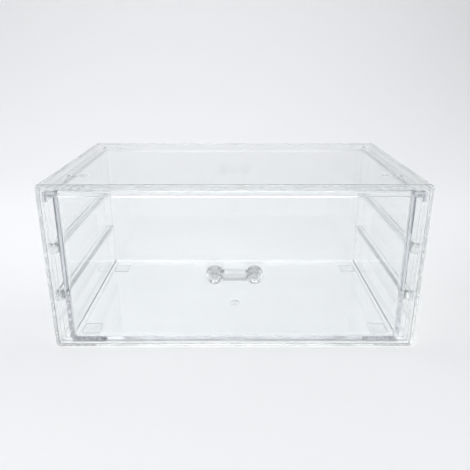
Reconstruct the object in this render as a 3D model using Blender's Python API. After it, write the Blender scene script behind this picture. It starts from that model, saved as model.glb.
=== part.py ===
"""Clear moulded cosmetic storage drawer: a case, its one drawer, the cut-crystal handle and the feet.

Metres, +Z up, the front faces -Y. The origin is on the ground, under the middle of the
whole object with its handle. The drawer slides out along -Y.
"""
import math

import bmesh
import bpy
from mathutils import Vector

MM = 0.001

# Case: one moulding, open at the front
CASE_WIDTH = 240.0 * MM
CASE_DEPTH = 142.0 * MM
CASE_HEIGHT = 112.0 * MM
CASE_WALL = 3.0 * MM
SIDE_DRAFT = 0.6 * MM           # each side wall leans in this much from mouth to back
CASE_CORNER = 2.5 * MM          # long outer edges
CASE_INNER_CORNER = 1.5 * MM
BACK_EDGE = 2.2 * MM            # rounding round the back wall
MOUTH_OUTER_EDGE = 1.85 * MM
MOUTH_INNER_EDGE = 0.5 * MM
BACK_FILLET = 1.5 * MM          # inside, round the back wall

# Rails moulded on the case's side walls, two a side
RAIL_HEIGHT = 7.2 * MM
RAIL_DROP = 39.6 * MM           # case top to the upper rail's top
RAIL_PITCH = 33.4 * MM
RAIL_SETBACK = 6.0 * MM         # mouth to the rail's nose
RAIL_NOSE = 3.2 * MM            # length of the round nose
RAIL_EDGE = 2.4 * MM
RAIL_COUNT = 2

# Feet under the case, and the squares on its top that take the feet of the next unit
FOOT_SIZE = 12.0 * MM
FOOT_PROUD = 1.0 * MM
FOOT_INSET = 20.0 * MM          # foot centre from the case's side, mouth and back
FOOT_CORNER = 1.6 * MM
FOOT_EDGE = 0.4 * MM
SOCKET_DEPTH = 0.9 * MM
SOCKET_CLEARANCE = 0.3 * MM
STACK_CLEARANCE = 1.0 * MM
STACK_DEPTH = 0.8 * MM

# Drawer: front panel and tray in one moulding
PANEL_SIDE_GAP = 0.8 * MM       # case wall to panel edge, each side
PANEL_TOP_GAP = 1.2 * MM
SLIDE_GAP = 0.3 * MM            # case floor to the drawer's underside
PANEL_RECESS = 0.5 * MM         # panel face behind the case's mouth
PANEL_LIFT = 0.4 * MM           # tray underside to the panel's lower edge
PANEL_THICKNESS = 3.0 * MM
PANEL_CORNER = 2.0 * MM
PANEL_EDGE = 0.9 * MM
BORDER_WIDTH = 2.5 * MM         # thickened edge round the panel's rear face
BORDER_TOP_WIDTH = 3.8 * MM
BORDER_DEPTH = 1.8 * MM
TRAY_SIDE_STEP = 6.0 * MM       # panel edge to the tray's side wall
TRAY_WALL = 2.4 * MM
TRAY_FRONT_WEB = 0.3 * MM       # the tray's own front skin, behind the panel
TRAY_BACK_WALL = 2.5 * MM
TRAY_FLOOR = 3.0 * MM
TRAY_BACK_GAP = 3.0 * MM        # tray to the case's back wall
TRAY_TOP_STEP = 2.1 * MM        # panel top to the tray's rim
TRAY_CORNER = 3.6 * MM
TRAY_BOTTOM_EDGE = 3.4 * MM
TRAY_FILLET = 1.0 * MM
RIM_EDGE = 0.5 * MM
RIM_SIDE_STEP = 0.3 * MM        # panel edge to the edge of the tray's side rim
RIM_BACK_REACH = 1.2 * MM       # the rim's overhang behind the tray's back wall
RIM_THICKNESS = 2.0 * MM
LIP_THICKNESS = 1.6 * MM
LIP_DROP = 3.0 * MM
RAIL_CLEARANCE = 1.5 * MM       # rail to the tray's side wall

# Handle: a bar whose thin ends run through two cut-crystal knobs to hubs and pegs
KNOB_SPACING = 25.0 * MM
KNOB_DIAMETER = 11.5 * MM
KNOB_HEIGHT = 10.0 * MM
KNOB_FACETS = 12
KNOB_CUTS = ((0.83, 0.0), (0.97, 0.22), (1.0, 0.48), (0.91, 0.8), (0.63, 1.0))  # radius and height shares
BAR_DIAMETER = 7.0 * MM
BAR_STANDOFF = 5.4 * MM         # panel face to the bar's centre line
TENON_DIAMETER = 3.0 * MM       # the bar's thin ends
HUB_DIAMETER = 3.6 * MM
HUB_HEIGHT = 7.4 * MM
PEG_DIAMETER = 2.6 * MM
PEG_HEAD_DIAMETER = 4.4 * MM
PEG_HEAD_HEIGHT = 1.0 * MM
FIT_GAP = 0.3 * MM              # between touching pieces

# Injection gates
CASE_GATE_DIAMETER = 8.0 * MM
TRAY_GATE_DIAMETER = 7.2 * MM
TRAY_GATE_SETBACK = 54.5 * MM   # panel face to the gate
GATE_DEPTH = 0.9 * MM
GATE_NUB_DIAMETER = 2.2 * MM
GATE_NUB_HEIGHT = 0.6 * MM

ARC_STEPS = 5
SLOT_STEPS = 8
ROUND_STEPS = 32
NUB_STEPS = 16
SMOOTH_ANGLE = 35               # degrees; sharper edges stay crisp
CUT_MARGIN = 2.0 * MM           # how far a cutter runs past what it cuts
ROOT_DEPTH = 1.5 * MM           # how far a joined shape reaches into its carrier

# Places worked out from the sizes
HANDLE_REACH = KNOB_HEIGHT + FIT_GAP - PANEL_RECESS
MOUTH_Y = (HANDLE_REACH - CASE_DEPTH) / 2
CASE_FLOOR_Z = FOOT_PROUD
PANEL_HALF_WIDTH = CASE_WIDTH / 2 - CASE_WALL - PANEL_SIDE_GAP
PANEL_HEIGHT = CASE_HEIGHT - 2 * CASE_WALL - PANEL_TOP_GAP - SLIDE_GAP
TRAY_HEIGHT = PANEL_HEIGHT - TRAY_TOP_STEP
TRAY_HALF_WIDTH = PANEL_HALF_WIDTH - TRAY_SIDE_STEP
TRAY_BACK_Y = CASE_DEPTH - CASE_WALL - TRAY_BACK_GAP - PANEL_RECESS
RAIL_REACH = PANEL_SIDE_GAP + TRAY_SIDE_STEP - RAIL_CLEARANCE
DRAFT_SLOPE = SIDE_DRAFT / CASE_DEPTH


def clear_scene():
    for obj in list(bpy.data.objects):
        bpy.data.objects.remove(obj, do_unlink=True)


def make_plastic(name, colour, roughness, clearness, ior):
    """A Principled material; clearness is how much light goes through."""
    material = bpy.data.materials.new(name)
    material.use_nodes = True
    shader = material.node_tree.nodes["Principled BSDF"]
    shader.inputs["Base Color"].default_value = (*colour, 1.0)
    shader.inputs["Roughness"].default_value = roughness
    shader.inputs["Metallic"].default_value = 0.0
    shader.inputs["IOR"].default_value = ior
    shader.inputs["Transmission Weight"].default_value = clearness
    return material


def make_empty(name, location):
    empty = bpy.data.objects.new(name, None)
    empty.location = location
    bpy.context.scene.collection.objects.link(empty)
    return empty


def make_object(name, bm, parent, location=(0, 0, 0), material=None, smooth_angle=None):
    """Turn bm into an object under parent; smooth_angle in degrees keeps sharper edges sharp."""
    bmesh.ops.recalc_face_normals(bm, faces=bm.faces)
    mesh = bpy.data.meshes.new(name)
    bm.to_mesh(mesh)
    bm.free()
    if smooth_angle is not None:
        mesh.shade_smooth()
        mesh.set_sharp_from_angle(angle=math.radians(smooth_angle))
    obj = bpy.data.objects.new(name, mesh)
    obj.location = location
    obj.parent = parent
    bpy.context.scene.collection.objects.link(obj)
    if material is not None:
        mesh.materials.append(material)
    return obj


def combine(obj, tool, operation):
    """Join tool to obj, or cut it out, with a Boolean that stays on obj."""
    tool.hide_render = True
    tool.display_type = "WIRE"
    modifier = obj.modifiers.new(operation.lower() + "_" + tool.name, "BOOLEAN")
    modifier.operation = operation
    modifier.solver = "EXACT"
    modifier.object = tool


def rounded_outline(corners, radii, steps=ARC_STEPS):
    """The 2-D outline through corners, each rounded to its radius, as steps + 1 points a corner."""
    points = []
    count = len(corners)
    for index, (corner, radius) in enumerate(zip(corners, radii)):
        here = Vector(corner)
        before = (Vector(corners[index - 1]) - here).normalized()
        after = (Vector(corners[(index + 1) % count]) - here).normalized()
        opening = before.angle(after)
        tangent = radius / math.tan(opening / 2)
        centre = here + (before + after).normalized() * radius / math.sin(opening / 2)
        start = here + before * tangent - centre
        end = here + after * tangent - centre
        sweep = start.angle_signed(end)
        for step in range(steps + 1):
            turn = -sweep * step / steps
            cosine, sine = math.cos(turn), math.sin(turn)
            points.append(centre + Vector((start.x * cosine - start.y * sine,
                                           start.x * sine + start.y * cosine)))
    return points


def arc(centre, radius, start, end, steps=ARC_STEPS):
    """Points on a circle from one angle to another, in degrees."""
    return [(centre[0] + radius * math.cos(math.radians(start + (end - start) * step / steps)),
             centre[1] + radius * math.sin(math.radians(start + (end - start) * step / steps)))
            for step in range(steps + 1)]


def loft(bm, rings):
    """Skin a row of rings that have the same number of points, and close both ends."""
    rows = [[bm.verts.new(point) for point in ring] for ring in rings]
    count = len(rows[0])
    for lower, upper in zip(rows, rows[1:]):
        for index in range(count):
            following = (index + 1) % count
            bm.faces.new((lower[index], lower[following], upper[following], upper[index]))
    bm.faces.new(rows[0])
    bm.faces.new(rows[-1])
    return bm


def extrude_outline(outline, along, low, high):
    """A prism on a 2-D outline, along X, Y or Z, between two places on that axis."""
    place = {"X": lambda u, v, w: (w, u, v), "Y": lambda u, v, w: (u, w, v), "Z": lambda u, v, w: (u, v, w)}[along]
    return loft(bmesh.new(), [[place(point[0], point[1], level) for point in outline]
                              for level in (low, high)])


def turn_profile(profile, axis, steps=ROUND_STEPS, centre=(0, 0)):
    """A turned solid: profile is (radius, distance along the axis), from one end to the other."""
    rings = []
    for radius, level in profile:
        ring = []
        for step in range(steps):
            angle = 2 * math.pi * step / steps
            u = centre[0] + radius * math.cos(angle)
            v = centre[1] + radius * math.sin(angle)
            ring.append((u, level, v) if axis == "Y" else (level, u, v))
        rings.append(ring)
    return loft(bmesh.new(), rings)


def square(centre, size, corner):
    """The outline of a square with rounded corners."""
    half = size / 2
    x, y = centre
    return rounded_outline([(x - half, y - half), (x + half, y - half), (x + half, y + half), (x - half, y + half)],
                           [corner] * 4)


# Case

def case_half_width(y):
    """Half the case's outer width at a distance behind the mouth."""
    return CASE_WIDTH / 2 - DRAFT_SLOPE * y


def case_ring(inset, y, corner):
    """The case's cross-section at y, drawn in by inset from the outer skin."""
    half = case_half_width(y) - inset
    low, high = inset, CASE_HEIGHT - inset
    outline = rounded_outline([(-half, low), (half, low), (half, high), (-half, high)], [corner] * 4)
    return [(x, y, z) for x, z in outline]


def case_shell():
    """The five-sided shell as one skin, from the outer back round the mouth to the inner back."""
    inner_back = CASE_DEPTH - CASE_WALL
    back = arc((BACK_EDGE, CASE_DEPTH - BACK_EDGE), BACK_EDGE, 90, 180)
    mouth_out = arc((MOUTH_OUTER_EDGE, MOUTH_OUTER_EDGE), MOUTH_OUTER_EDGE, 180, 270)
    mouth_in = arc((CASE_WALL - MOUTH_INNER_EDGE, MOUTH_INNER_EDGE), MOUTH_INNER_EDGE, 270, 360)
    floor = arc((CASE_WALL + BACK_FILLET, inner_back - BACK_FILLET), BACK_FILLET, 180, 90)
    rings = [case_ring(inset, y, CASE_CORNER - min(inset, BACK_EDGE)) for inset, y in back + mouth_out]
    rings += [case_ring(inset, y, CASE_INNER_CORNER) for inset, y in mouth_in]
    rings += [case_ring(inset, y, CASE_INNER_CORNER) for inset, y in floor]
    return loft(bmesh.new(), rings)


def rail_ring(side, z, inset):
    """A rail seen from above: rooted in the side wall, with a full round nose, up to the back wall."""
    back_y = CASE_DEPTH - CASE_WALL + ROOT_DEPTH
    wall_front = case_half_width(RAIL_SETBACK) - CASE_WALL
    wall_back = case_half_width(back_y) - CASE_WALL
    half = (RAIL_REACH + ROOT_DEPTH - inset) / 2
    steps = 2 * ARC_STEPS
    outline = []
    for step in range(steps + 1):
        angle = math.pi * step / steps
        outline.append((wall_front + ROOT_DEPTH - half + half * math.cos(angle),
                        RAIL_SETBACK + RAIL_NOSE - (RAIL_NOSE - inset) * math.sin(angle)))
    outline.append((wall_back - RAIL_REACH + inset, back_y))
    outline.append((wall_back + ROOT_DEPTH, back_y))
    return [(side * x, y, z) for x, y in outline]


def rail(side, index):
    top = CASE_HEIGHT - RAIL_DROP - RAIL_PITCH * index
    low = top - RAIL_HEIGHT
    outline = arc((RAIL_EDGE, low + RAIL_EDGE), RAIL_EDGE, 270, 180)
    outline += arc((RAIL_EDGE, top - RAIL_EDGE), RAIL_EDGE, 180, 90)
    return loft(bmesh.new(), [rail_ring(side, z, inset) for inset, z in outline])


def foot_places():
    """Foot centres on the case, measured from the middle of its mouth."""
    across = CASE_WIDTH / 2 - FOOT_INSET
    return {"foot_front_left": (-across, FOOT_INSET), "foot_front_right": (across, FOOT_INSET),
            "foot_back_left": (-across, CASE_DEPTH - FOOT_INSET),
            "foot_back_right": (across, CASE_DEPTH - FOOT_INSET)}


def gate_well(name, parent, centre, level, depth_axis, diameter, inward):
    """The round well that a gate sits in, as a cutter; inward is the way into the wall."""
    profile = [(diameter / 2, level - inward * CUT_MARGIN), (diameter / 2, level + inward * GATE_DEPTH)]
    return make_object(name, turn_profile(profile, depth_axis, centre=centre), parent)


def build_case(parent, material):
    case = make_object("outer_case", case_shell(), parent, material=material, smooth_angle=SMOOTH_ANGLE)
    for index in range(RAIL_COUNT):
        for side, name in ((-1, "left"), (1, "right")):
            tool = make_object(f"rail_{name}_{index + 1}", rail(side, index), parent)
            combine(case, tool, "UNION")
    socket_size = FOOT_SIZE + 2 * SOCKET_CLEARANCE
    stack_size = FOOT_SIZE + 2 * STACK_CLEARANCE
    for name, centre in foot_places().items():
        socket = extrude_outline(square(centre, socket_size, FOOT_CORNER), "Z", -CUT_MARGIN, SOCKET_DEPTH)
        combine(case, make_object(name + "_socket", socket, parent), "DIFFERENCE")
        stack = extrude_outline(square(centre, stack_size, FOOT_CORNER + STACK_CLEARANCE), "Z",
                                CASE_HEIGHT - STACK_DEPTH, CASE_HEIGHT + CUT_MARGIN)
        combine(case, make_object(name + "_stack_square", stack, parent), "DIFFERENCE")
    centre = (0, CASE_HEIGHT / 2)
    well = gate_well("case_gate_well", parent, centre, CASE_DEPTH, "Y", CASE_GATE_DIAMETER, -1)
    combine(case, well, "DIFFERENCE")
    nub_base = CASE_DEPTH - GATE_DEPTH
    nub = turn_profile([(GATE_NUB_DIAMETER / 2, nub_base - ROOT_DEPTH / 2),
                        (GATE_NUB_DIAMETER / 2, nub_base + GATE_NUB_HEIGHT)], "Y", NUB_STEPS, centre)
    combine(case, make_object("case_gate_nub", nub, parent), "UNION")
    return case


def foot_pad():
    """A square pad with rounded corners and a broken lower edge."""
    thickness = FOOT_PROUD + SOCKET_DEPTH - FIT_GAP
    rings = []
    for inset, z in ((FOOT_EDGE, 0), (0, FOOT_EDGE), (0, thickness)):
        outline = square((0, 0), FOOT_SIZE - 2 * inset, FOOT_CORNER - inset)
        rings.append([(x, y, z) for x, y in outline])
    return loft(bmesh.new(), rings)


def build_feet(parent, material):
    for name, (x, y) in foot_places().items():
        make_object(name, foot_pad(), parent, (x, y, -FOOT_PROUD), material, SMOOTH_ANGLE)


# Drawer

def panel_ring(inset, y, corner, top_inset=None):
    half = PANEL_HALF_WIDTH - inset
    low = PANEL_LIFT + inset
    high = PANEL_HEIGHT - (inset if top_inset is None else top_inset)
    outline = rounded_outline([(-half, low), (half, low), (half, high), (-half, high)], [corner] * 4)
    return [(x, y, z) for x, z in outline]


def panel_plate():
    """The front panel with its rounded edge and the border round its rear face."""
    border_back = PANEL_THICKNESS + BORDER_DEPTH
    front = arc((PANEL_EDGE, PANEL_EDGE), PANEL_EDGE, 270, 180)
    rings = [panel_ring(inset, y, PANEL_CORNER - inset) for inset, y in front]
    rings.append(panel_ring(0, border_back - RIM_EDGE, PANEL_CORNER))
    rings.append(panel_ring(RIM_EDGE, border_back, PANEL_CORNER - RIM_EDGE))
    inner_corner = PANEL_CORNER - RIM_EDGE
    rings.append(panel_ring(BORDER_WIDTH - RIM_EDGE, border_back, inner_corner, BORDER_TOP_WIDTH - RIM_EDGE))
    rings.append(panel_ring(BORDER_WIDTH, border_back - RIM_EDGE, inner_corner, BORDER_TOP_WIDTH))
    rings.append(panel_ring(BORDER_WIDTH, PANEL_THICKNESS, inner_corner, BORDER_TOP_WIDTH))
    return loft(bmesh.new(), rings)


def tray_half_width(y):
    """Half the tray's outer width at a distance behind the panel's face."""
    return TRAY_HALF_WIDTH - DRAFT_SLOPE * y


def tray_ring(inset, z, front_y, back_y, corner, front_corner):
    """The tray's plan at z: it narrows to the back as the case does."""
    front_half = tray_half_width(front_y) - inset
    back_half = tray_half_width(back_y) - inset
    outline = rounded_outline([(-front_half, front_y), (front_half, front_y), (back_half, back_y),
                               (-back_half, back_y)], [front_corner, front_corner, corner, corner])
    return [(x, y, z) for x, y in outline]


def tray_block():
    """The tray's outside: rounded underside, side walls and the turned-down rim along each side."""
    front_y = PANEL_THICKNESS / 2
    reach = TRAY_SIDE_STEP - RIM_SIDE_STEP
    under = TRAY_HEIGHT - RIM_THICKNESS
    hook = reach - LIP_THICKNESS
    edge = RIM_EDGE
    outline = arc((TRAY_BOTTOM_EDGE, TRAY_BOTTOM_EDGE), TRAY_BOTTOM_EDGE, 270, 180)
    outline += [(0, under - edge), (-edge, under), (-hook + edge, under), (-hook, under - edge),
                (-hook, under - LIP_DROP + edge / 2), (-hook - edge / 2, under - LIP_DROP),
                (-reach + edge / 2, under - LIP_DROP), (-reach, under - LIP_DROP + edge / 2)]
    outline += arc((-reach + edge, TRAY_HEIGHT - edge), edge, 180, 90)
    rings = []
    for inset, z in outline:
        drawn_in = max(inset, 0)
        overhang = max(-inset, 0) * RIM_BACK_REACH / reach
        rings.append(tray_ring(inset, z, front_y - overhang, TRAY_BACK_Y - drawn_in + overhang,
                               TRAY_CORNER - drawn_in, edge))
    return loft(bmesh.new(), rings)


def tray_pocket():
    """The space inside the tray, with a filleted floor and a broken rim, as a cutter."""
    back_y = TRAY_BACK_Y - TRAY_BACK_WALL
    outline = arc((TRAY_FILLET, TRAY_FLOOR + TRAY_FILLET), TRAY_FILLET, 270, 180)
    outline += arc((-RIM_EDGE, TRAY_HEIGHT - RIM_EDGE), RIM_EDGE, 0, 90)
    outline.append((-RIM_EDGE, TRAY_HEIGHT + CUT_MARGIN))
    rings = []
    for inset, z in outline:
        drawn_in = max(inset, 0)
        corner = TRAY_CORNER - TRAY_WALL - drawn_in
        rings.append(tray_ring(TRAY_WALL + inset, z, PANEL_THICKNESS + TRAY_FRONT_WEB + inset,
                               back_y - inset, corner, corner))
    return loft(bmesh.new(), rings)


def build_tray(parent, material):
    tray = make_object("drawer_tray", tray_block(), parent, material=material, smooth_angle=SMOOTH_ANGLE)
    combine(tray, make_object("tray_pocket", tray_pocket(), parent), "DIFFERENCE")
    combine(tray, make_object("front_panel", panel_plate(), parent), "UNION")
    for side, name in ((-1, "left"), (1, "right")):
        hole = turn_profile([(PEG_DIAMETER / 2 + FIT_GAP, -CUT_MARGIN),
                             (PEG_DIAMETER / 2 + FIT_GAP, PANEL_THICKNESS + CUT_MARGIN)], "Y",
                            centre=(side * KNOB_SPACING / 2, PANEL_HEIGHT / 2))
        combine(tray, make_object("peg_hole_" + name, hole, parent), "DIFFERENCE")
    well = bmesh.new()
    bmesh.ops.create_cone(well, cap_ends=True, segments=ROUND_STEPS, radius1=TRAY_GATE_DIAMETER / 2,
                          radius2=TRAY_GATE_DIAMETER / 2, depth=GATE_DEPTH * 2)
    combine(tray, make_object("tray_gate_well", well, parent, (0, TRAY_GATE_SETBACK, 0)), "DIFFERENCE")
    nub = bmesh.new()
    bmesh.ops.create_cone(nub, cap_ends=True, segments=NUB_STEPS, radius1=GATE_NUB_DIAMETER / 2,
                          radius2=GATE_NUB_DIAMETER / 2, depth=GATE_NUB_HEIGHT * 2)
    nub_place = (0, TRAY_GATE_SETBACK, GATE_DEPTH)
    combine(tray, make_object("tray_gate_nub", nub, parent, nub_place), "UNION")
    return tray


# Handle: y = 0 is the panel's front face, -y is towards the user

def build_bar(parent, material):
    """The bar, coped to the knobs, its thin ends, two hubs and the pegs through the panel."""
    half = KNOB_SPACING / 2
    centre = (-BAR_STANDOFF, 0)
    rod = turn_profile([(BAR_DIAMETER / 2, -half), (BAR_DIAMETER / 2, half)], "X", centre=centre)
    bar = make_object("handle_bar", rod, parent, material=material, smooth_angle=SMOOTH_ANGLE)
    cope = KNOB_DIAMETER / 2 + FIT_GAP
    for side, name in ((-1, "left"), (1, "right")):
        tool = turn_profile([(cope, -KNOB_HEIGHT - CUT_MARGIN), (cope, CUT_MARGIN)], "Y", centre=(side * half, 0))
        combine(bar, make_object("cope_" + name, tool, parent), "DIFFERENCE")
    tenon = turn_profile([(TENON_DIAMETER / 2, -half), (TENON_DIAMETER / 2, half)], "X", centre=centre)
    combine(bar, make_object("handle_tenon", tenon, parent), "UNION")
    hub, peg, head = HUB_DIAMETER / 2, PEG_DIAMETER / 2, PEG_HEAD_DIAMETER / 2
    head_front = PANEL_THICKNESS + TRAY_FRONT_WEB + FIT_GAP
    stem = [(hub - RIM_EDGE, -HUB_HEIGHT), (hub, RIM_EDGE - HUB_HEIGHT), (hub, -FIT_GAP), (peg, -FIT_GAP),
            (peg, head_front), (head, head_front), (head, head_front + PEG_HEAD_HEIGHT / 2),
            (head - RIM_EDGE, head_front + PEG_HEAD_HEIGHT)]
    for side, name in ((-1, "left"), (1, "right")):
        stud = turn_profile(stem, "Y", centre=(side * half, 0))
        combine(bar, make_object("handle_stud_" + name, stud, parent), "UNION")
    return bar


def knob_facets():
    """The cut-crystal cap: rings of points, each turned half a facet from the last."""
    bm = bmesh.new()
    rows = []
    for row, (radius_share, height_share) in enumerate(KNOB_CUTS):
        turn = (row % 2) / 2
        radius = radius_share * KNOB_DIAMETER / 2
        y = -FIT_GAP - height_share * KNOB_HEIGHT
        rows.append([bm.verts.new((radius * math.cos(2 * math.pi * (step + turn) / KNOB_FACETS), y,
                                   radius * math.sin(2 * math.pi * (step + turn) / KNOB_FACETS)))
                     for step in range(KNOB_FACETS)])
    for row in range(len(rows) - 1):
        here, there = rows[row], rows[row + 1]
        shift = row % 2
        for step in range(KNOB_FACETS):
            following = (step + 1) % KNOB_FACETS
            bm.faces.new((here[step], here[following], there[(step + shift) % KNOB_FACETS]))
            bm.faces.new((there[step], there[following], here[(step + 1 - shift) % KNOB_FACETS]))
    bm.faces.new(rows[0])
    bm.faces.new(rows[-1])
    return bm


def build_knob(name, side, parent, material):
    """A knob at one end of the bar: a blind bore takes the hub, a slot lets the bar in."""
    place = (side * KNOB_SPACING / 2, 0, 0)
    knob = make_object(name, knob_facets(), parent, place, material)
    bore = turn_profile([(HUB_DIAMETER / 2 + FIT_GAP, CUT_MARGIN),
                         (HUB_DIAMETER / 2 + FIT_GAP, -HUB_HEIGHT - FIT_GAP)], "Y")
    combine(knob, make_object(name + "_bore", bore, parent, place), "DIFFERENCE")
    half = TENON_DIAMETER / 2 + FIT_GAP
    outline = [(CUT_MARGIN, -half), (CUT_MARGIN, half)] + arc((-BAR_STANDOFF, 0), half, 90, 270, SLOT_STEPS)
    slot = extrude_outline(outline, "X", -side * KNOB_DIAMETER, 0)
    combine(knob, make_object(name + "_slot", slot, parent, place), "DIFFERENCE")
    return knob


def main():
    clear_scene()
    clear = make_plastic("clear_polystyrene", (0.93, 0.95, 0.96), 0.03, 1.0, 1.59)
    crystal = make_plastic("crystal_acrylic", (0.96, 0.97, 0.98), 0.02, 1.0, 1.49)
    soft = make_plastic("soft_clear_pad", (0.88, 0.90, 0.91), 0.25, 0.85, 1.45)
    case_frame = make_empty("case_frame", (0, MOUTH_Y, CASE_FLOOR_Z))
    drawer_slide = make_empty("drawer_slide", (0, PANEL_RECESS, CASE_WALL + SLIDE_GAP))
    drawer_slide.parent = case_frame
    handle_place = make_empty("handle_place", (0, 0, PANEL_HEIGHT / 2))
    handle_place.parent = drawer_slide
    build_case(case_frame, clear)
    build_feet(case_frame, soft)
    build_tray(drawer_slide, clear)
    build_bar(handle_place, crystal)
    build_knob("knob_left", -1, handle_place, crystal)
    build_knob("knob_right", 1, handle_place, crystal)


main()
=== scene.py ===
import bpy
import math
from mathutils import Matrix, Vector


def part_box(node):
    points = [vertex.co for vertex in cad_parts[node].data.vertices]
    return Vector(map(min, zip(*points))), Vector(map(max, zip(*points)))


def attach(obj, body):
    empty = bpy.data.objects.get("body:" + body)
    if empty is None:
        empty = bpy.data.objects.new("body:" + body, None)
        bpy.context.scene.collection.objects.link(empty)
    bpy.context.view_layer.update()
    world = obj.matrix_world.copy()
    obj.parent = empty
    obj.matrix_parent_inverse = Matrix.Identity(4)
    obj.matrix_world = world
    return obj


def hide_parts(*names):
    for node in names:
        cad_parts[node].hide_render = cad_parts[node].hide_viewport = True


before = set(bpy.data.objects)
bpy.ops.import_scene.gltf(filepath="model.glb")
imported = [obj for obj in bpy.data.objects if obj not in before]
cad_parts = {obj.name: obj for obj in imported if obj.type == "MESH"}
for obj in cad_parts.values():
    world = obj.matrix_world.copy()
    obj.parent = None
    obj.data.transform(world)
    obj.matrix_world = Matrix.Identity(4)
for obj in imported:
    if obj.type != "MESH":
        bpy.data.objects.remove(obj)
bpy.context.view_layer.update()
bpy.ops.object.select_all(action="DESELECT")
print("frame loaded")

mm = 0.001

modelling = {
    "slack": 0.05 * mm,          # two places nearer than this count as one
    "facingLimit": 0.9,          # a face looks along an axis when its normal reaches this
    "longSpan": 50.0 * mm,       # an edge longer than this runs along a whole side
    "middleReach": 10.0 * mm,    # the middle face has its centre this near the middle
    "flatAngle": 0.002,          # radians; faces this close to flat become one
    "sharpAngle": 10.0,          # degrees; an edge that turns less isn't rounded
    "smoothAngle": 30.0,         # degrees; an edge that turns less is shaded smooth
    "flatWeight": 100,           # how strongly the large faces keep their flat shading
    "rodSides": 64,
    "margin": 2.0 * mm,          # how far a cutter runs past what it cuts
    "orderFrom": (0.53, -0.37, 0.71),    # points are put in order by their distance from here
}


def deselectAll():
    if bpy.context.object and bpy.context.object.mode != "OBJECT":
        bpy.ops.object.mode_set(mode="OBJECT")
    bpy.ops.object.select_all(action="DESELECT")


def selectOnly(piece):
    deselectAll()
    piece.select_set(True)
    bpy.context.view_layer.objects.active = piece


def applyPlace():
    bpy.ops.object.transform_apply(location=True, rotation=True, scale=True)


def workOn(piece, elements):
    selectOnly(piece)
    bpy.ops.object.mode_set(mode="EDIT")
    bpy.ops.mesh.select_mode(type=elements)
    bpy.ops.mesh.select_all(action="DESELECT")
    bpy.ops.object.mode_set(mode="OBJECT")


def pickFaces(piece, test):
    workOn(piece, "FACE")
    for face in piece.data.polygons:
        face.select = bool(test(face.center, face.normal))
    bpy.ops.object.mode_set(mode="EDIT")


def pickVertices(piece, test):
    workOn(piece, "VERT")
    for vertex in piece.data.vertices:
        vertex.select = bool(test(vertex.co))
    bpy.ops.object.mode_set(mode="EDIT")


def pickEdges(piece, test):
    workOn(piece, "EDGE")
    corners = piece.data.vertices
    for edge in piece.data.edges:
        edge.select = bool(test(corners[edge.vertices[0]].co, corners[edge.vertices[1]].co))
    bpy.ops.object.mode_set(mode="EDIT")


def leaveEdit():
    bpy.ops.object.mode_set(mode="OBJECT")


def shiftPicked(x, y, z):
    bpy.ops.transform.translate(value=(x, y, z))


def extrudePicked(x, y, z):
    bpy.ops.mesh.extrude_region_move(TRANSFORM_OT_translate={"value": (x, y, z)})


def scalePicked(x, y, z, about):
    bpy.ops.transform.resize(value=(x, y, z), center_override=about)


def bevelPicked(width, segments):
    bpy.ops.mesh.bevel(offset=width, segments=segments, affect="EDGES")


def near(value, wanted, slack=modelling["slack"]):
    return abs(value - wanted) < slack


def level(a, b, axis, wanted):       # both ends of an edge at this place on one axis
    return near(getattr(a, axis), wanted) and near(getattr(b, axis), wanted)


def facing(normal, axis, sign=1):
    return getattr(normal, axis) * sign > modelling["facingLimit"]


def inMiddle(across, along):
    return math.hypot(across, along) < modelling["middleReach"]


# extruding leaves the points in another order each run, and the rounding of edges depends on it
def settleOrder(piece):
    workOn(piece, "VERT")
    bpy.context.scene.cursor.location = modelling["orderFrom"]
    bpy.ops.object.mode_set(mode="EDIT")
    bpy.ops.mesh.select_all(action="SELECT")
    bpy.ops.mesh.sort_elements(type="CURSOR_DISTANCE", elements={"VERT", "EDGE", "FACE"})
    leaveEdit()
    bpy.context.scene.cursor.location = (0, 0, 0)


def mergeFlatFaces(piece):
    settleOrder(piece)
    workOn(piece, "FACE")
    bpy.ops.object.mode_set(mode="EDIT")
    bpy.ops.mesh.select_all(action="SELECT")
    bpy.ops.mesh.dissolve_limited(angle_limit=modelling["flatAngle"])
    leaveEdit()


def addBlock(name, low, high):
    deselectAll()
    bpy.ops.mesh.primitive_cube_add(size=1, location=[(a + b) / 2 for a, b in zip(low, high)])
    block = bpy.context.object
    block.name = name
    block.scale = [b - a for a, b in zip(low, high)]
    applyPlace()
    return block


def addRod(name, start, radius, length, axis, sides=modelling["rodSides"]):
    deselectAll()
    turn = {"x": (0, math.pi / 2, 0), "y": (-math.pi / 2, 0, 0), "z": (0, 0, 0)}[axis]
    step = {"x": (1, 0, 0), "y": (0, 1, 0), "z": (0, 0, 1)}[axis]
    middle = [a + s * length / 2 for a, s in zip(start, step)]
    bpy.ops.mesh.primitive_cylinder_add(vertices=sides, radius=radius, depth=length,
                                        location=middle, rotation=turn)
    rod = bpy.context.object
    rod.name = name
    applyPlace()
    return rod


def finishModifier(piece, modifier):
    selectOnly(piece)
    bpy.ops.object.modifier_apply(modifier=modifier.name)


def joinOrCut(piece, tool, operation):
    modifier = piece.modifiers.new("shape", "BOOLEAN")
    modifier.operation = operation
    modifier.solver = "EXACT"
    modifier.object = tool
    finishModifier(piece, modifier)
    bpy.data.objects.remove(tool, do_unlink=True)


def sharpEdges(piece):
    normals = {}
    for face in piece.data.polygons:
        for key in face.edge_keys:
            normals.setdefault(key, []).append(face.normal)
    limit = math.cos(math.radians(modelling["sharpAngle"]))
    return {key for key, pair in normals.items() if len(pair) == 2 and pair[0].dot(pair[1]) < limit}


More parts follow.
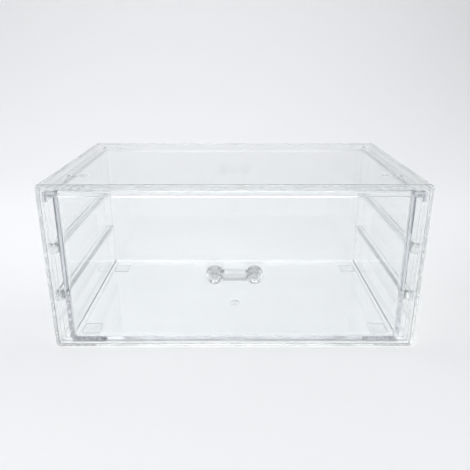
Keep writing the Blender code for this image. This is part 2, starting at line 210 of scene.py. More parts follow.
def softenEdges(piece, rules, segments):      # rules are (width, test), and the first that fits counts
    settleOrder(piece)
    largest = max(width for width, test in rules)
    weights = piece.data.attributes.new("bevel_weight_edge", "FLOAT", "EDGE")
    corners = piece.data.vertices
    sharp = sharpEdges(piece)
    for edge, weight in zip(piece.data.edges, weights.data):
        if edge.key in sharp:
            a, b = corners[edge.vertices[0]].co, corners[edge.vertices[1]].co
            weight.value = next((width / largest for width, test in rules if test(a, b)), 0)
    modifier = piece.modifiers.new("softEdges", "BEVEL")
    modifier.width = largest
    modifier.segments = segments
    modifier.limit_method = "WEIGHT"
    modifier.use_clamp_overlap = False
    finishModifier(piece, modifier)
    spent = piece.data.attributes.get("bevel_weight_edge")
    if spent:
        piece.data.attributes.remove(spent)


def polish(piece, smoothAngle=modelling["smoothAngle"]):
    selectOnly(piece)
    bpy.ops.object.shade_smooth_by_angle(angle=math.radians(smoothAngle))
    modifier = piece.modifiers.new("flatFaces", "WEIGHTED_NORMAL")
    modifier.weight = modelling["flatWeight"]
    modifier.keep_sharp = True
    finishModifier(piece, modifier)
    deselectAll()


def addNode(tree, kind, **values):            # a value is a setting of the node or else an input
    node = tree.nodes.new(kind)
    for name, value in values.items():
        if name in node.bl_rna.properties:
            setattr(node, name, value)
        else:
            node.inputs[name.replace("_", " ")].default_value = value
    return node


# camera: solved from the case's edges in the photo, metres and degrees
cameraView = {
    "place": (-0.0002, -0.3586, 0.1899),
    "tiltDown": 20.35,
    "turnRight": 0.08,
    "focalPixels": 505.9,        # in a picture as wide as picturePixels
    "picturePixels": 470.0,
    "sensorWidth": 36.0,
    "nearClip": 0.01,
}


def addCamera():
    cameraData = bpy.data.cameras.new("photoCamera")
    cameraData.sensor_width = cameraView["sensorWidth"]
    cameraData.lens = cameraData.sensor_width * cameraView["focalPixels"] / cameraView["picturePixels"]
    cameraData.clip_start = cameraView["nearClip"]
    cameraObject = bpy.data.objects.new("photoCamera", cameraData)
    cameraObject.location = cameraView["place"]
    tilt, turn = math.radians(90 - cameraView["tiltDown"]), math.radians(-cameraView["turnRight"])
    cameraObject.rotation_euler = (tilt, 0, turn)
    bpy.context.scene.collection.objects.link(cameraObject)
    bpy.context.scene.camera = cameraObject


roomLight = {
    "skyColour": (0.975, 0.985, 1.0),
    "skyLevel": 0.715,           # overhead and behind the box
    "roomLevel": 0.03,           # at the sides and behind the camera
    "brightWay": (-0.1, 0.5, 0.86),      # the way to the brightest part, about 1 long
    "dimBelow": -0.1,            # the room brightens from here to brightAbove, along brightWay
    "brightAbove": 0.8,
    "lamps": {
        "windowLight": {"place": (-1.2, -0.8, 1.5), "target": (0, 0, 0.05), "size": 1.0, "power": 14.0},
        "ceilingLight": {"place": (0, -0.6, 0.95), "target": (0, -0.5, 0), "size": 0.6, "power": 4.5},
        "backdropLight": {"place": (0, 0.1, 1.0), "target": (-0.1, 0.9, 0.92), "size": 1.5, "power": 6.2},
    },
}


def addSoftbox(name, place, target, size, power):
    bpy.ops.object.light_add(type="AREA", location=place)
    lamp = bpy.context.object
    lamp.name = name
    lamp.data.shape = "SQUARE"
    lamp.data.size = size
    lamp.data.energy = power
    aim = [t - p for t, p in zip(target, place)]
    flat = math.hypot(aim[0], aim[1])
    lamp.rotation_euler = (math.atan2(flat, -aim[2]), 0, math.atan2(-aim[0], aim[1]))
    lamp.visible_glossy = False          # no hard white squares mirrored in the plastic


def lightRoom():
    world = bpy.data.worlds.new("softRoom")
    world.use_nodes = True
    bpy.context.scene.world = world
    tree = world.node_tree
    ambient = tree.nodes["Background"]
    ambient.inputs["Color"].default_value = (*roomLight["skyColour"], 1.0)
    direction = addNode(tree, "ShaderNodeTexCoord")
    towards = addNode(tree, "ShaderNodeVectorMath", operation="DOT_PRODUCT")
    towards.inputs[1].default_value = roomLight["brightWay"]
    ramp = addNode(tree, "ShaderNodeMapRange", interpolation_type="SMOOTHSTEP",
                   From_Min=roomLight["dimBelow"], From_Max=roomLight["brightAbove"],
                   To_Min=roomLight["roomLevel"], To_Max=roomLight["skyLevel"])
    tree.links.new(direction.outputs["Generated"], towards.inputs[0])
    tree.links.new(towards.outputs["Value"], ramp.inputs["Value"])
    tree.links.new(ramp.outputs["Result"], ambient.inputs["Strength"])
    for name, lamp in roomLight["lamps"].items():
        addSoftbox(name, **lamp)


# sheet of paper under the box, which bends up behind it
sweep = {
    "width": 1.6,
    "front": -0.8,
    "back": 0.9,
    "rise": 1.3,
    "bendRadius": 0.5,
    "bendSegments": 24,
    "foldSlack": 0.01,           # an edge this near the fold is the fold
    "grainScale": 900.0,
    "grainHeight": 0.00002,
    "underGap": 0.00005,         # keeps the paper clear of the pads' undersides
    "colour": (0.83, 0.835, 0.85, 1.0),
    "roughness": 0.9,
}


def addSweep():
    bpy.ops.mesh.primitive_plane_add(size=1, location=(0, 0, 0))
    paper = bpy.context.object
    paper.name = "paperSweep"
    paper.scale = (sweep["width"], sweep["back"] - sweep["front"], 1)
    paper.location = (0, (sweep["back"] + sweep["front"]) / 2, -sweep["underGap"])
    applyPlace()
    foldY = sweep["back"] - sweep["foldSlack"]
    pickEdges(paper, lambda a, b: min(a.y, b.y) > foldY)
    extrudePicked(0, 0, sweep["rise"])
    pickEdges(paper, lambda a, b: min(a.y, b.y) > foldY and max(a.z, b.z) < sweep["foldSlack"])
    bevelPicked(sweep["bendRadius"], sweep["bendSegments"])
    leaveEdit()
    bpy.ops.object.shade_smooth()

    material = bpy.data.materials.new("matPaper")
    material.use_nodes = True
    tree = material.node_tree
    shader = tree.nodes["Principled BSDF"]
    shader.inputs["Base Color"].default_value = sweep["colour"]
    shader.inputs["Roughness"].default_value = sweep["roughness"]
    place = addNode(tree, "ShaderNodeTexCoord")
    fibre = addNode(tree, "ShaderNodeTexNoise", Scale=sweep["grainScale"])
    tooth = addNode(tree, "ShaderNodeBump", Distance=sweep["grainHeight"])
    tree.links.new(place.outputs["Object"], fibre.inputs["Vector"])
    tree.links.new(fibre.outputs["Fac"], tooth.inputs["Height"])
    tree.links.new(tooth.outputs["Normal"], shader.inputs["Normal"])
    paper.data.materials.append(material)


# surface detail that all the clear plastics share, scales per metre and heights in metres
clearLook = {
    "swayScale": 28.0,           # slow ripples of the mould's polish
    "swayDetail": 1.0,
    "swayHeight": 0.000004,
    "streakStretch": (40.0, 900.0, 260.0),
    "streakScale": 1.0,
    "streakDetail": 3.0,
    "streakFrom": 0.68,          # noise level above which a hairline shows
    "streakTo": 0.74,
    "streakRoughness": 0.05,
    "streakHeight": 0.000002,
    "ringSpacing": 0.0016,       # flow rings round the gate
    "ringReach": 0.022,
    "ringHeight": 0.000004,
    "hazeScale": 9.0,
    "hazeDetail": 2.0,
    "hazeAmount": 0.012,
}

plastics = {
    "clearPolystyrene": {
        "look": clearLook,
        "colour": (0.98, 0.987, 0.987),
        "roughness": 0.0,
        "ior": 1.59,
        "shadow": (0.972, 0.972, 0.970),     # light that each surface lets through
        "depthColour": (0.40, 0.48, 0.46),   # what is left of light that goes a long way inside
        "density": 1.6,
        "gate": (0, 75.9 * mm, 57.0 * mm),   # middle of the flow rings
    },
    "drawerPolystyrene": {
        "look": clearLook,
        "colour": (0.98, 0.987, 0.987),
        "roughness": 0.0,
        "ior": 1.59,
        "shadow": (0.972, 0.972, 0.970),
        "depthColour": (0.30, 0.34, 0.40),
        "density": 2.9,
        "gate": (0, -11.1 * mm, 4.3 * mm),
    },
    "cutCrystal": {
        "look": {**clearLook, "swayHeight": 0.000003, "streakStretch": (500.0, 90.0, 500.0)},
        "colour": (0.99, 0.99, 0.99),
        "roughness": 0.0,
        "ior": 1.55,
        "shadow": (0.97, 0.97, 0.97),
        "depthColour": (0.30, 0.34, 0.36),
        "density": 21.0,
    },
    "softPad": {
        "look": {**clearLook, "swayScale": 700.0, "streakRoughness": 0.1},
        "colour": (0.98, 0.985, 0.99),
        "roughness": 0.03,
        "ior": 1.45,
        "shadow": (0.98, 0.98, 0.98),
    },
}


def addRings(tree, place, look, gate):
    away = addNode(tree, "ShaderNodeVectorMath", operation="DISTANCE")
    away.inputs[1].default_value = gate
    turns = addNode(tree, "ShaderNodeMath", operation="MULTIPLY")
    turns.inputs[1].default_value = 2 * math.pi / look["ringSpacing"]
    wave = addNode(tree, "ShaderNodeMath", operation="SINE")
    fade = addNode(tree, "ShaderNodeMapRange", From_Max=look["ringReach"], To_Min=1.0, To_Max=0.0)
    ring = addNode(tree, "ShaderNodeMath", operation="MULTIPLY")
    tree.links.new(place.outputs["Object"], away.inputs[0])
    tree.links.new(away.outputs["Value"], turns.inputs[0])
    tree.links.new(turns.outputs["Value"], wave.inputs[0])
    tree.links.new(away.outputs["Value"], fade.inputs["Value"])
    tree.links.new(wave.outputs["Value"], ring.inputs[0])
    tree.links.new(fade.outputs["Result"], ring.inputs[1])
    return ring.outputs["Value"]


def addDetail(tree, shader, plastic):
    links, look = tree.links, plastic["look"]
    place = addNode(tree, "ShaderNodeTexCoord")
    sway = addNode(tree, "ShaderNodeTexNoise", Scale=look["swayScale"], Detail=look["swayDetail"])
    stretch = addNode(tree, "ShaderNodeMapping", Scale=look["streakStretch"])
    streak = addNode(tree, "ShaderNodeTexNoise", Scale=look["streakScale"], Detail=look["streakDetail"])
    hairline = addNode(tree, "ShaderNodeMapRange", From_Min=look["streakFrom"], From_Max=look["streakTo"])
    haze = addNode(tree, "ShaderNodeTexNoise", Scale=look["hazeScale"], Detail=look["hazeDetail"])
    links.new(place.outputs["Object"], sway.inputs["Vector"])
    links.new(place.outputs["Object"], haze.inputs["Vector"])
    links.new(place.outputs["Object"], stretch.inputs["Vector"])
    links.new(stretch.outputs["Vector"], streak.inputs["Vector"])
    links.new(streak.outputs["Fac"], hairline.inputs["Value"])

    rough = addNode(tree, "ShaderNodeMapRange", To_Min=plastic["roughness"],
                    To_Max=plastic["roughness"] + look["streakRoughness"])
    links.new(hairline.outputs["Result"], rough.inputs["Value"])
    links.new(rough.outputs["Result"], shader.inputs["Roughness"])
    tint = addNode(tree, "ShaderNodeMix", data_type="RGBA")
    tint.inputs["A"].default_value = (*plastic["colour"], 1.0)
    tint.inputs["B"].default_value = (*[c - look["hazeAmount"] for c in plastic["colour"]], 1.0)
    links.new(haze.outputs["Fac"], tint.inputs["Factor"])
    links.new(tint.outputs["Result"], shader.inputs["Base Color"])

    heights = [(sway.outputs["Fac"], look["swayHeight"])]
    heights.append((hairline.outputs["Result"], look["streakHeight"]))
    if "gate" in plastic:
        heights.append((addRings(tree, place, look, plastic["gate"]), look["ringHeight"]))
    before = None
    for height, distance in heights:
        bump = addNode(tree, "ShaderNodeBump", Distance=distance)
        links.new(height, bump.inputs["Height"])
        if before:
            links.new(before.outputs["Normal"], bump.inputs["Normal"])
        before = bump
    links.new(before.outputs["Normal"], shader.inputs["Normal"])


def clearPlastic(name):
    plastic = plastics[name]
    material = bpy.data.materials.new(name)
    material.use_nodes = True
    tree = material.node_tree
    shader, output = tree.nodes["Principled BSDF"], tree.nodes["Material Output"]
    shader.inputs["IOR"].default_value = plastic["ior"]
    shader.inputs["Transmission Weight"].default_value = 1.0
    addDetail(tree, shader, plastic)
    if "density" in plastic:
        volume = addNode(tree, "ShaderNodeVolumeAbsorption", Color=(*plastic["depthColour"], 1.0),
                         Density=plastic["density"])
        tree.links.new(volume.outputs["Volume"], output.inputs["Volume"])
    passing = addNode(tree, "ShaderNodeBsdfTransparent", Color=(*plastic["shadow"], 1.0))
    rays = addNode(tree, "ShaderNodeLightPath")
    mix = addNode(tree, "ShaderNodeMixShader")
    tree.links.new(rays.outputs["Is Shadow Ray"], mix.inputs["Fac"])
    tree.links.new(shader.outputs["BSDF"], mix.inputs[1])
    tree.links.new(passing.outputs["BSDF"], mix.inputs[2])
    tree.links.new(mix.outputs["Shader"], output.inputs["Surface"])
    return material


def finishPiece(piece, name, body, slotName, material, *nodes):
    piece.name = name
    piece.data.name = name
    piece.data.materials.clear()
    piece.data.materials.append(material)
    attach(piece, body)
    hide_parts(*nodes)
    print(name, "finished,", len(piece.data.polygons), "faces")


def addGate(piece, sizes, axis, well, nub):   # well and nub: where each starts and how long it is
    wellRod = addRod("gateWell", well[0], sizes["gateDiameter"] / 2, well[1], axis)
    joinOrCut(piece, wellRod, "DIFFERENCE")
    nubRod = addRod("gateNub", nub[0], sizes["nubDiameter"] / 2, nub[1], axis, sizes["nubSides"])
    joinOrCut(piece, nubRod, "UNION")


outerCase = {
    "wall": 3.0 * mm,
    "sideDraft": 0.6 * mm,           # each side leans in this much from mouth to back
    "longEdge": 2.5 * mm,
    "innerLongEdge": 1.5 * mm,
    "mouthEdge": 1.85 * mm,
    "mouthInnerEdge": 0.5 * mm,
    "backEdge": 2.2 * mm,
    "backFillet": 1.5 * mm,
    "segments": 8,
    "railTops": (39.6 * mm, 73.0 * mm),      # down from the case's top
    "railHeight": 7.2 * mm,
    "railReach": 5.3 * mm,
    "railSetback": 6.0 * mm,
    "railEdge": 2.4 * mm,
    "railSteps": 8,
    "noseFlat": 0.5 * mm,            # half the flat left at the tip of a rail's round nose
    "noseSegments": 16,
    "rootDepth": 2.5 * mm,           # deeper than the rail's rounding, so no groove is left at the wall
    "footInset": 20.0 * mm,
    "socketSize": 12.6 * mm,
    "socketDepth": 0.9 * mm,
    "socketCorner": 1.6 * mm,
    "stackSize": 14.0 * mm,
    "stackDepth": 0.8 * mm,
    "stackCorner": 2.6 * mm,
    "cornerSegments": 6,
    "floorFillet": 0.3 * mm,
    "filletSegments": 4,
    "gateDiameter": 8.0 * mm,
    "gateDepth": 0.9 * mm,
    "nubDiameter": 2.2 * mm,
    "nubHeight": 0.6 * mm,
    "nubSides": 32,
}


def footCentres(low, high):
    inset = outerCase["footInset"]
    return [(x, y) for x in (-high.x + inset, high.x - inset) for y in (low.y + inset, high.y - inset)]


def squareCutter(name, centre, size, low, high, corner, floorZ):
    x, y = centre
    half = size / 2
    cutter = addBlock(name, (x - half, y - half, low), (x + half, y + half, high))
    pickEdges(cutter, lambda a, b: abs(a.z - b.z) > mm)
    bevelPicked(corner, outerCase["cornerSegments"])
    pickEdges(cutter, lambda a, b: level(a, b, "z", floorZ))
    bevelPicked(outerCase["floorFillet"], outerCase["filletSegments"])
    leaveEdit()
    return cutter


def domeFace(piece, test, radius, steps):     # insets along a quarter circle
    pickFaces(piece, test)
    for step in range(steps):
        start, end = math.pi / 2 * step / steps, math.pi / 2 * (step + 1) / steps
        bpy.ops.mesh.inset(thickness=radius * (math.cos(start) - math.cos(end)),
                           depth=radius * (math.sin(end) - math.sin(start)))
    leaveEdit()


def addRail(side, wallX, frontY, backY, top):
    sizes = outerCase
    reach, root, edge = sizes["railReach"], sizes["rootDepth"], sizes["railEdge"]
    inner, outer = sorted((side * (wallX - reach), side * (wallX + root)))
    rail = addBlock("rail", (inner, frontY, top - sizes["railHeight"] + edge), (outer, backY, top - edge))
    pickFaces(rail, lambda centre, normal: facing(normal, "y"))
    shiftPicked(-side * sizes["sideDraft"], 0, 0)
    pickEdges(rail, lambda a, b: level(a, b, "y", frontY) and abs(a.z - b.z) > mm)
    bevelPicked((reach + root) / 2 - sizes["noseFlat"], sizes["noseSegments"])
    leaveEdit()
    domeFace(rail, lambda centre, normal: facing(normal, "z"), edge, sizes["railSteps"])
    domeFace(rail, lambda centre, normal: facing(normal, "z", -1), edge, sizes["railSteps"])
    return rail


def buildCase():
    sizes = outerCase
    low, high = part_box("outer_case")
    wall, margin, draft = sizes["wall"], modelling["margin"], sizes["sideDraft"]
    innerHalf = high.x - wall
    backMiddle = (0, high.y, 0)
    body = addBlock("caseShell", low, high)
    pickFaces(body, lambda centre, normal: facing(normal, "y"))
    scalePicked((high.x - draft) / high.x, 1, 1, backMiddle)
    pickFaces(body, lambda centre, normal: facing(normal, "y", -1))
    bpy.ops.mesh.inset(thickness=wall)
    extrudePicked(0, high.y - low.y - wall, 0)
    scalePicked((innerHalf - draft) / innerHalf, 1, 1, backMiddle)
    leaveEdit()

    def alongSide(a, b):
        return abs(a.y - b.y) > modelling["longSpan"]

    def onSkin(p):
        return p.z < low.z + mm or p.z > high.z - mm

    softenEdges(body, [
        (sizes["longEdge"], lambda a, b: alongSide(a, b) and onSkin(a)),
        (sizes["innerLongEdge"], alongSide),
        (sizes["backEdge"], lambda a, b: level(a, b, "y", high.y)),
        (sizes["backFillet"], lambda a, b: level(a, b, "y", high.y - wall)),
        (sizes["mouthEdge"], lambda a, b: level(a, b, "y", low.y) and onSkin(a) and onSkin(b)),
        (sizes["mouthInnerEdge"], lambda a, b: level(a, b, "y", low.y)),
    ], sizes["segments"])

    railFront, railBack = low.y + sizes["railSetback"], high.y - wall + sizes["rootDepth"]
    for side in (-1, 1):
        for drop in sizes["railTops"]:
            joinOrCut(body, addRail(side, innerHalf, railFront, railBack, high.z - drop), "UNION")

    socketTop, stackFloor = low.z + sizes["socketDepth"], high.z - sizes["stackDepth"]
    for centre in footCentres(low, high):
        socket = squareCutter("socket", centre, sizes["socketSize"], low.z - margin, socketTop,
                              sizes["socketCorner"], socketTop)
        joinOrCut(body, socket, "DIFFERENCE")
        stack = squareCutter("stackSquare", centre, sizes["stackSize"], stackFloor, high.z + margin,
                             sizes["stackCorner"], stackFloor)
        joinOrCut(body, stack, "DIFFERENCE")

    middleZ = (low.z + high.z) / 2
    wellFloor = high.y - sizes["gateDepth"]
    addGate(body, sizes, "y", ((0, wellFloor, middleZ), margin),
            ((0, wellFloor - mm, middleZ), mm + sizes["nubHeight"]))
    polish(body)
    return body


drawerTray = {
    "panelHeight": 104.5 * mm,
    "panelLift": 0.4 * mm,
    "panelThickness": 3.0 * mm,
    "panelCorner": 2.0 * mm,
    "panelEdge": 0.9 * mm,
    "borderWidth": 2.5 * mm,
    "borderTopWidth": 3.8 * mm,
    "borderDepth": 1.8 * mm,
    "borderCorner": 1.5 * mm,
    "borderEdge": 0.5 * mm,
    "rimStep": 2.1 * mm,             # panel top down to the tray's rim
    "sideStep": 6.0 * mm,            # panel edge to the tray's side wall
    "wall": 2.4 * mm,
    "wallSlack": 0.2 * mm,           # the wall's inner edge is found within this
    "frontWeb": 0.3 * mm,
    "backWall": 2.5 * mm,
    "floor": 3.0 * mm,
    "length": 135.5 * mm,            # panel face to the outside of the back wall
    "narrowing": 0.57 * mm,          # each side, over the tray's length
    "corner": 3.6 * mm,
    "bottomEdge": 3.4 * mm,
    "floorFillet": 2.8 * mm,
    "innerCorner": 2.4 * mm,
    "rimReach": 5.7 * mm,
    "rimThickness": 2.0 * mm,
    "rimBackReach": 1.2 * mm,
    "rimEdge": 0.4 * mm,
    "lipThickness": 1.6 * mm,
    "lipDrop": 3.0 * mm,
    "segments": 8,
    "pegHole": 1.6 * mm,             # radius
    "holeSides": 48,
    "gateSetback": 54.5 * mm,
    "gateDiameter": 7.2 * mm,
    "gateDepth": 0.9 * mm,
    "nubDiameter": 2.2 * mm,
    "nubHeight": 0.6 * mm,
    "nubSides": 32,
}


def buildPanel(faceY, underZ, halfWidth):
    sizes = drawerTray
    lowZ, highZ = underZ + sizes["panelLift"], underZ + sizes["panelHeight"]
    middleZ = (lowZ + highZ) / 2
    rearY = faceY + sizes["panelThickness"]
    borderY = rearY + sizes["borderDepth"]
    width = sizes["borderWidth"]
    panel = addBlock("frontPanel", (-halfWidth, faceY, lowZ), (halfWidth, rearY, highZ))
    pickFaces(panel, lambda centre, normal: facing(normal, "y"))
    bpy.ops.mesh.inset(thickness=width)
    pickVertices(panel, lambda p: near(p.z, highZ - width) and near(p.y, rearY))
    shiftPicked(0, 0, width - sizes["borderTopWidth"])
    pickFaces(panel, lambda centre, normal: facing(normal, "y")
              and not inMiddle(centre.x, centre.z - middleZ))
    extrudePicked(0, sizes["borderDepth"], 0)
    leaveEdit()
    mergeFlatFaces(panel)

    def onSkin(p):
        return abs(p.x) > halfWidth - mm or p.z < lowZ + mm or p.z > highZ - mm

    def alongY(a, b):
        return near(a.x, b.x) and near(a.z, b.z)

    softenEdges(panel, [
        (sizes["panelCorner"], lambda a, b: alongY(a, b) and onSkin(a)),
        (sizes["borderCorner"], alongY),
        (sizes["panelEdge"], lambda a, b: level(a, b, "y", faceY)),
        (sizes["borderEdge"], lambda a, b: level(a, b, "y", borderY)),
    ], sizes["segments"])
    return panel


def addRim(tray, half, frontY, backY, rimZ, rimUnder):      # with the lip turned down along both sides
    sizes = drawerTray
    bpy.ops.mesh.select_all(action="SELECT")
    bpy.ops.mesh.bisect(plane_co=(0, 0, rimUnder), plane_no=(0, 0, 1))
    for side in (-1, 1):
        pickFaces(tray, lambda centre, normal: facing(normal, "x", side) and centre.z > rimUnder)
        extrudePicked(side * sizes["rimReach"], 0, 0)
    pickFaces(tray, lambda centre, normal: facing(normal, "y") and centre.z > rimUnder)
    extrudePicked(0, sizes["rimBackReach"], 0)
    lipX = half + sizes["rimReach"] - sizes["lipThickness"]
    slope = math.atan2(sizes["narrowing"], backY - frontY)

    def underRim(centre, normal):
        return facing(normal, "z", -1) and near(centre.z, rimUnder)

    for side in (-1, 1):
        pickFaces(tray, lambda centre, normal: underRim(centre, normal) and centre.x * side > half)
        bpy.ops.mesh.bisect(plane_co=(side * lipX, frontY, rimUnder),
                            plane_no=(side * math.cos(slope), math.sin(slope), 0))
        pickFaces(tray, lambda centre, normal: underRim(centre, normal)
                  and centre.x * side > lipX - sizes["narrowing"])
        extrudePicked(0, 0, -sizes["lipDrop"])


def hollowTray(tray, half, frontY, backY, rimZ, floorZ):
    sizes = drawerTray
    wall, slack = sizes["wall"], sizes["wallSlack"]
    middleY = (frontY + backY) / 2

    def onTopInside(centre, normal):
        return facing(normal, "z") and inMiddle(centre.x, centre.y - middleY)

    def onRim(p, y):
        return near(p.z, rimZ) and near(p.y, y, slack) and abs(p.x) < half - mm

    pickFaces(tray, onTopInside)
    bpy.ops.mesh.inset(thickness=wall)
    pickVertices(tray, lambda p: onRim(p, frontY + wall))
    shiftPicked(0, sizes["panelThickness"] / 2 + sizes["frontWeb"] - wall, 0)
    pickVertices(tray, lambda p: onRim(p, backY - wall))
    shiftPicked(0, wall - sizes["backWall"], 0)
    pickFaces(tray, onTopInside)
    extrudePicked(0, 0, floorZ - rimZ)
    leaveEdit()
    mergeFlatFaces(tray)


def buildTray():
    sizes = drawerTray
    margin = modelling["margin"]
    low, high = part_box("drawer_tray")
    faceY, underZ, halfWidth = low.y, low.z, high.x
    frontY = faceY + sizes["panelThickness"] / 2
    backY = faceY + sizes["length"]
    half = halfWidth - sizes["sideStep"]
    floorZ = underZ + sizes["floor"]
    rimZ = underZ + sizes["panelHeight"] - sizes["rimStep"]
    rimUnder = rimZ - sizes["rimThickness"]
    lipZ = rimUnder - sizes["lipDrop"]
    tray = addBlock("trayShell", (-half, frontY, underZ), (half, backY, rimZ))
    pickFaces(tray, lambda centre, normal: facing(normal, "y"))
    scalePicked((half - sizes["narrowing"]) / half, 1, 1, (0, backY, 0))
    addRim(tray, half, frontY, backY, rimZ, rimUnder)
    hollowTray(tray, half, frontY, backY, rimZ, floorZ)

    def upright(a, b):
        return abs(a.z - b.z) > modelling["longSpan"]

    def onRimEdge(a, b):
        return level(a, b, "z", rimZ) or level(a, b, "z", lipZ)

    softenEdges(tray, [
        (sizes["bottomEdge"], lambda a, b: level(a, b, "z", underZ) and not level(a, b, "y", frontY)),
        (sizes["floorFillet"], lambda a, b: level(a, b, "z", floorZ)),
        (sizes["innerCorner"], lambda a, b: upright(a, b) and near(min(a.z, b.z), floorZ)),
        (sizes["corner"], lambda a, b: upright(a, b) and a.y > backY - mm),
        (sizes["rimEdge"], lambda a, b: onRimEdge(a, b) and not level(a, b, "y", frontY)),
        (sizes["rimEdge"], lambda a, b: min(a.y, b.y) > backY + mm and min(a.z, b.z) > lipZ - mm),
    ], sizes["segments"])

    joinOrCut(tray, buildPanel(faceY, underZ, halfWidth), "UNION")
    barZ = underZ + sizes["panelHeight"] / 2
    for x in (-handle["spacing"] / 2, handle["spacing"] / 2):
        hole = addRod("pegHole", (x, faceY - margin, barZ), sizes["pegHole"],
                      sizes["panelThickness"] + 2 * margin, "y", sizes["holeSides"])
        joinOrCut(tray, hole, "DIFFERENCE")
    gateY = faceY + sizes["gateSetback"]
    nubBase = underZ + sizes["gateDepth"] - sizes["nubHeight"]
    addGate(tray, sizes, "z", ((0, gateY, underZ - margin), margin + sizes["gateDepth"]),
            ((0, gateY, nubBase), sizes["nubHeight"] + mm))
    polish(tray)
    return tray


handle = {
    "spacing": 25.0 * mm,
    "knobDiameter": 11.5 * mm,
    "knobHeight": 10.0 * mm,
    "facets": 12,
    # each ring of corners: its radius and its height, as shares of the knob's own
    "cuts": ((0.83, 0.0), (0.97, 0.22), (1.0, 0.48), (0.91, 0.8), (0.63, 1.0)),
    "facetEdge": 0.06 * mm,
    "facetSegments": 2,
    "facetSmoothing": 1.0,           # degrees; keeps the facets flat
    "barDiameter": 7.0 * mm,
    "barStandoff": 5.4 * mm,
    "barSides": 72,
    "copeSides": 96,
    "tenonDiameter": 3.0 * mm,
    "hubDiameter": 3.6 * mm,
    "hubHeight": 7.4 * mm,
    "hubEdge": 0.5 * mm,
    "pegDiameter": 2.6 * mm,
    "headDiameter": 4.4 * mm,
    "headHeight": 1.0 * mm,
    "headEdge": 0.4 * mm,
    "headPlace": 3.6 * mm,           # behind the panel's face
    "edgeSegments": 5,
    "fitGap": 0.3 * mm,
    "fitSides": 48,                  # of the tenon, the stud and what they sit in
}


def addSteppedRod(name, start, steps, sides):
    radius, length = steps[0]
    rod = addRod(name, start, radius, length, "y", sides)
    endY = start[1] + length
    for nextRadius, length in steps[1:]:
        pickFaces(rod, lambda centre, normal: facing(normal, "y") and near(centre.y, endY))
        extrudePicked(0, 0, 0)
        scalePicked(nextRadius / radius, 1, nextRadius / radius, (start[0], endY, start[2]))
        extrudePicked(0, length, 0)
        leaveEdit()
        radius, endY = nextRadius, endY + length
    return rod


def addStud(x, faceY, barZ):         # hub in the knob, peg through the panel, head behind it
    sizes = handle
    stud = addSteppedRod("stud", (x, faceY - sizes["hubHeight"], barZ), [
        (sizes["hubDiameter"] / 2, sizes["hubHeight"] - sizes["fitGap"]),
        (sizes["pegDiameter"] / 2, sizes["fitGap"] + sizes["headPlace"]),
        (sizes["headDiameter"] / 2, sizes["headHeight"]),
    ], sizes["fitSides"])
    hubEnd = faceY - sizes["hubHeight"]
    headEnd = faceY + sizes["headPlace"] + sizes["headHeight"]
    softenEdges(stud, [
        (sizes["hubEdge"], lambda a, b: level(a, b, "y", hubEnd)),
        (sizes["headEdge"], lambda a, b: level(a, b, "y", headEnd)),
    ], sizes["edgeSegments"])
    return stud


def buildBar(faceY, barZ):
    sizes = handle
    half, margin = sizes["spacing"] / 2, modelling["margin"]
    barY = faceY - sizes["barStandoff"]
    bar = addRod("bar", (-half, barY, barZ), sizes["barDiameter"] / 2, 2 * half, "x", sizes["barSides"])
    for x in (-half, half):
        cope = addRod("cope", (x, faceY - sizes["knobHeight"] - margin, barZ),
                      sizes["knobDiameter"] / 2 + sizes["fitGap"], sizes["knobHeight"] + 2 * margin,
                      "y", sizes["copeSides"])
        joinOrCut(bar, cope, "DIFFERENCE")
    tenon = addRod("tenon", (-half, barY, barZ), sizes["tenonDiameter"] / 2, 2 * half,
                   "x", sizes["fitSides"])
    joinOrCut(bar, tenon, "UNION")
    for x in (-half, half):
        joinOrCut(bar, addStud(x, faceY, barZ), "UNION")
    polish(bar)
    return bar


def cutFacets(x, baseY, barZ):       # each ring of corners is turned half a facet past the last
    sizes = handle
    cuts, height = sizes["cuts"], sizes["knobHeight"]
    firstBand = cuts[1][1] * height
    knob = addRod("knob", (x, baseY - firstBand, barZ), cuts[0][0] * sizes["knobDiameter"] / 2, firstBand,
                  "y", sizes["facets"])
    pickFaces(knob, lambda centre, normal: facing(normal, "y", -1))
    for (share, rise), (nextShare, nextRise) in zip(cuts, cuts[1:]):
        if rise > 0:                 # the rod is the first band
            extrudePicked(0, -(nextRise - rise) * height, 0)
        about = (x, baseY - nextRise * height, barZ)
        scalePicked(nextShare / share, 1, nextShare / share, about)
        bpy.ops.transform.rotate(value=math.pi / sizes["facets"], orient_axis="Y", center_override=about)
    bpy.ops.mesh.select_all(action="DESELECT")
    bpy.ops.mesh.select_face_by_sides(number=4)
    bpy.ops.mesh.quads_convert_to_tris(quad_method="SHORTEST_DIAGONAL")
    bpy.ops.mesh.select_all(action="SELECT")
    bevelPicked(sizes["facetEdge"], sizes["facetSegments"])
    leaveEdit()
    return knob


def buildKnob(x, faceY, barZ):
    sizes = handle
    gap, margin = sizes["fitGap"], modelling["margin"]
    knob = cutFacets(x, faceY - gap, barZ)
    boreDepth = sizes["hubHeight"] + gap
    bore = addRod("bore", (x, faceY - boreDepth, barZ), sizes["hubDiameter"] / 2 + gap, boreDepth + margin,
                  "y", sizes["fitSides"])
    joinOrCut(knob, bore, "DIFFERENCE")
    reach = sizes["knobDiameter"]
    slotHalf = sizes["tenonDiameter"] / 2 + gap
    barY = faceY - sizes["barStandoff"]
    slotStart, slotEnd = sorted((x, x - math.copysign(reach, x)))      # towards the other knob
    slot = addBlock("slot", (slotStart, barY, barZ - slotHalf), (slotEnd, faceY + margin, barZ + slotHalf))
    roundEnd = addRod("slotEnd", (slotStart, barY, barZ), slotHalf, reach, "x", sizes["fitSides"])
    joinOrCut(slot, roundEnd, "UNION")
    joinOrCut(knob, slot, "DIFFERENCE")
    polish(knob, sizes["facetSmoothing"])
    return knob


footPad = {
    "corner": 1.6 * mm,
    "lowerEdge": 0.4 * mm,
    "upperEdge": 0.1 * mm,
    "segments": 5,
}


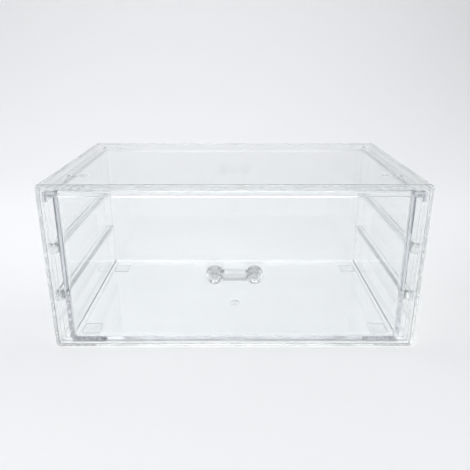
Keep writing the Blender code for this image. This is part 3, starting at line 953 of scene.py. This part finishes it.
def buildPad():
    sizes = footPad
    low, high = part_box("foot_front_left")
    pad = addBlock("pad", low, high)
    softenEdges(pad, [
        (sizes["corner"], lambda a, b: near(a.x, b.x) and near(a.y, b.y)),
        (sizes["lowerEdge"], lambda a, b: level(a, b, "z", low.z)),
        (sizes["upperEdge"], lambda a, b: level(a, b, "z", high.z)),
    ], sizes["segments"])
    polish(pad)
    return pad


def copyPad(pad, node):
    copied = pad.copy()
    copied.data = pad.data.copy()
    bpy.context.scene.collection.objects.link(copied)
    copied.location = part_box(node)[0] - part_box("foot_front_left")[0]
    selectOnly(copied)
    applyPlace()
    return copied


lightPaths = {
    "bounces": 96,                   # light crosses many faces before it leaves an edge of the box
    "transparentBounces": 40,
}

addCamera()
lightRoom()
addSweep()
cyclesSettings = bpy.context.scene.cycles
cyclesSettings.max_bounces = lightPaths["bounces"]
cyclesSettings.transmission_bounces = lightPaths["bounces"]
cyclesSettings.glossy_bounces = lightPaths["bounces"]
cyclesSettings.transparent_max_bounces = lightPaths["transparentBounces"]
print("room ready")

clearCase = clearPlastic("clearPolystyrene")
clearDrawer = clearPlastic("drawerPolystyrene")
crystal = clearPlastic("cutCrystal")
softPad = clearPlastic("softPad")
print("plastics ready")

finishPiece(buildCase(), "caseShell", "case", "clear_case", clearCase, "outer_case")
finishPiece(buildTray(), "drawerMoulding", "drawer", "clear_drawer", clearDrawer, "drawer_tray")

knobLow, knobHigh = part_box("knob_left")
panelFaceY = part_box("drawer_tray")[0].y
handleZ = (knobLow.z + knobHigh.z) / 2
finishPiece(buildBar(panelFaceY, handleZ), "handleBar", "drawer", "crystal_handle", crystal, "handle_bar")
for side, name, node in ((-1, "knobLeft", "knob_left"), (1, "knobRight", "knob_right")):
    knob = buildKnob(side * handle["spacing"] / 2, panelFaceY, handleZ)
    finishPiece(knob, name, "drawer", "crystal_handle", crystal, node)

firstPad = buildPad()
for node in ("foot_front_right", "foot_back_left", "foot_back_right"):
    finishPiece(copyPad(firstPad, node), node.replace("foot", "pad"), "case", "soft_pad", softPad, node)
finishPiece(firstPad, "pad_front_left", "case", "soft_pad", softPad, "foot_front_left")

bpy.context.scene.view_settings.view_transform = "Standard"
